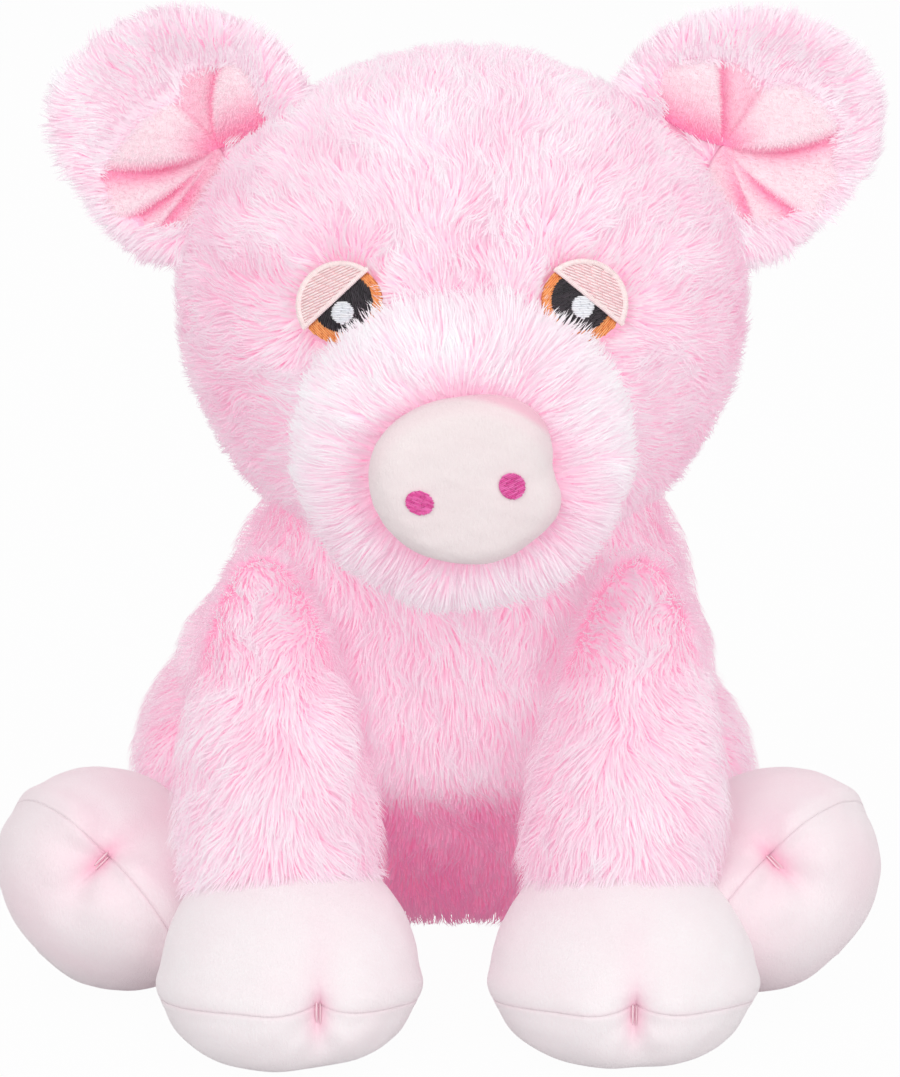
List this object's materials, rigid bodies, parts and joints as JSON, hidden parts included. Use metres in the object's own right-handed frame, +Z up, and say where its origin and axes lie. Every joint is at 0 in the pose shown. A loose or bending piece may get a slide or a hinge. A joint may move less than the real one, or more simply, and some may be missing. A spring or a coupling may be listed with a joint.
{
  "type": "plush pig",
  "caption": "Seated soft toy pig with long-pile covers over fillings, short-pile hooves and nose, embroidered sleepy eyes, cupped ears and a curled tail.",
  "frame": {"origin": "on the floor, under the middle of the toy's bounding box", "axes": "+Z up, the pig faces -Y, +X towards its own left"},
  "size_m": [0.2378, 0.2116, 0.2494],
  "materials": {
    "long_pile": "long soft pile, deeper pink at the roots",
    "short_pile": "short velvety pile",
    "filling": "loose polyester fibre",
    "lid_thread": "satin stitch",
    "iris_thread": "satin stitch",
    "pupil_thread": "satin stitch",
    "highlight_thread": "satin stitch",
    "nostril_thread": "satin stitch"
  },
  "bodies": {
    "torso": {"chest_panel": "long_pile", "belly_panel": "long_pile", "body_side_left": "long_pile", "body_side_right": "long_pile", "body_filling": "filling"},
    "head": {"head_side_left": "long_pile", "head_side_right": "long_pile", "head_filling": "filling", "muzzle_cover": "long_pile", "muzzle_filling": "filling", "nose_disc": "short_pile", "nostril_left": "nostril_thread", "nostril_right": "nostril_thread", "eye_left_lid": "lid_thread", "eye_left_iris": "iris_thread", "eye_left_pupil": "pupil_thread", "eye_left_highlight": "highlight_thread", "eye_right_lid": "lid_thread", "eye_right_iris": "iris_thread", "eye_right_pupil": "pupil_thread", "eye_right_highlight": "highlight_thread"},
    "ear_left": {"ear_left_cover": "long_pile", "ear_left_lining": "short_pile"},
    "ear_right": {"ear_right_cover": "long_pile", "ear_right_lining": "short_pile"},
    "front_leg_left": {"front_leg_left_outer": "long_pile", "front_leg_left_inner": "long_pile", "front_leg_left_filling": "filling", "front_hoof_left_upper": "short_pile", "front_hoof_left_sole": "short_pile", "front_hoof_left_filling": "filling", "front_hoof_left_stitch": "short_pile"},
    "front_leg_right": {"front_leg_right_outer": "long_pile", "front_leg_right_inner": "long_pile", "front_leg_right_filling": "filling", "front_hoof_right_upper": "short_pile", "front_hoof_right_sole": "short_pile", "front_hoof_right_filling": "filling", "front_hoof_right_stitch": "short_pile"},
    "rear_leg_left": {"rear_leg_left_top": "long_pile", "rear_leg_left_under": "long_pile", "rear_leg_left_filling": "filling", "rear_hoof_left_upper": "short_pile", "rear_hoof_left_sole": "short_pile", "rear_hoof_left_filling": "filling", "rear_hoof_left_stitch": "short_pile"},
    "rear_leg_right": {"rear_leg_right_top": "long_pile", "rear_leg_right_under": "long_pile", "rear_leg_right_filling": "filling", "rear_hoof_right_upper": "short_pile", "rear_hoof_right_sole": "short_pile", "rear_hoof_right_filling": "filling", "rear_hoof_right_stitch": "short_pile"},
    "tail": {"tail": "short_pile"}
  },
  "joints": [
    {"name": "head_nod", "type": "hinge", "parent": "torso", "child": "head", "pos_m": [0.003, -0.01548, 0.179], "axis": [1, 0, 0], "range_deg": [-8, 5], "stiffness_Nm_per_rad": 1},
    {"name": "ear_left_flap", "type": "hinge", "parent": "head", "child": "ear_left", "pos_m": [0.0645, 0.00552, 0.212], "axis": [-0.4741, 0, 0.8805], "range_deg": [-15, 15], "stiffness_Nm_per_rad": 0.1},
    {"name": "ear_right_flap", "type": "hinge", "parent": "head", "child": "ear_right", "pos_m": [-0.0585, 0.00552, 0.212], "axis": [-0.4741, 0, -0.8805], "range_deg": [-15, 15], "stiffness_Nm_per_rad": 0.1},
    {"name": "front_leg_left_swing", "type": "hinge", "parent": "torso", "child": "front_leg_left", "pos_m": [0.047, -0.03648, 0.1], "axis": [-1, 0, 0], "range_deg": [0, 20], "stiffness_Nm_per_rad": 0.5},
    {"name": "front_leg_right_swing", "type": "hinge", "parent": "torso", "child": "front_leg_right", "pos_m": [-0.047, -0.03648, 0.1], "axis": [-1, 0, 0], "range_deg": [0, 20], "stiffness_Nm_per_rad": 0.5},
    {"name": "rear_leg_left_lift", "type": "hinge", "parent": "torso", "child": "rear_leg_left", "pos_m": [0.051, 0.04552, 0.026], "axis": [-1, 0, 0], "range_deg": [0, 12], "stiffness_Nm_per_rad": 0.5},
    {"name": "rear_leg_right_lift", "type": "hinge", "parent": "torso", "child": "rear_leg_right", "pos_m": [-0.051, 0.04552, 0.026], "axis": [-1, 0, 0], "range_deg": [0, 12], "stiffness_Nm_per_rad": 0.5},
    {"name": "tail_swing", "type": "hinge", "parent": "torso", "child": "tail", "pos_m": [0, 0.08152, 0.046], "axis": [-1, 0, 0], "range_deg": [-15, 15], "stiffness_Nm_per_rad": 0.05}
  ]
}
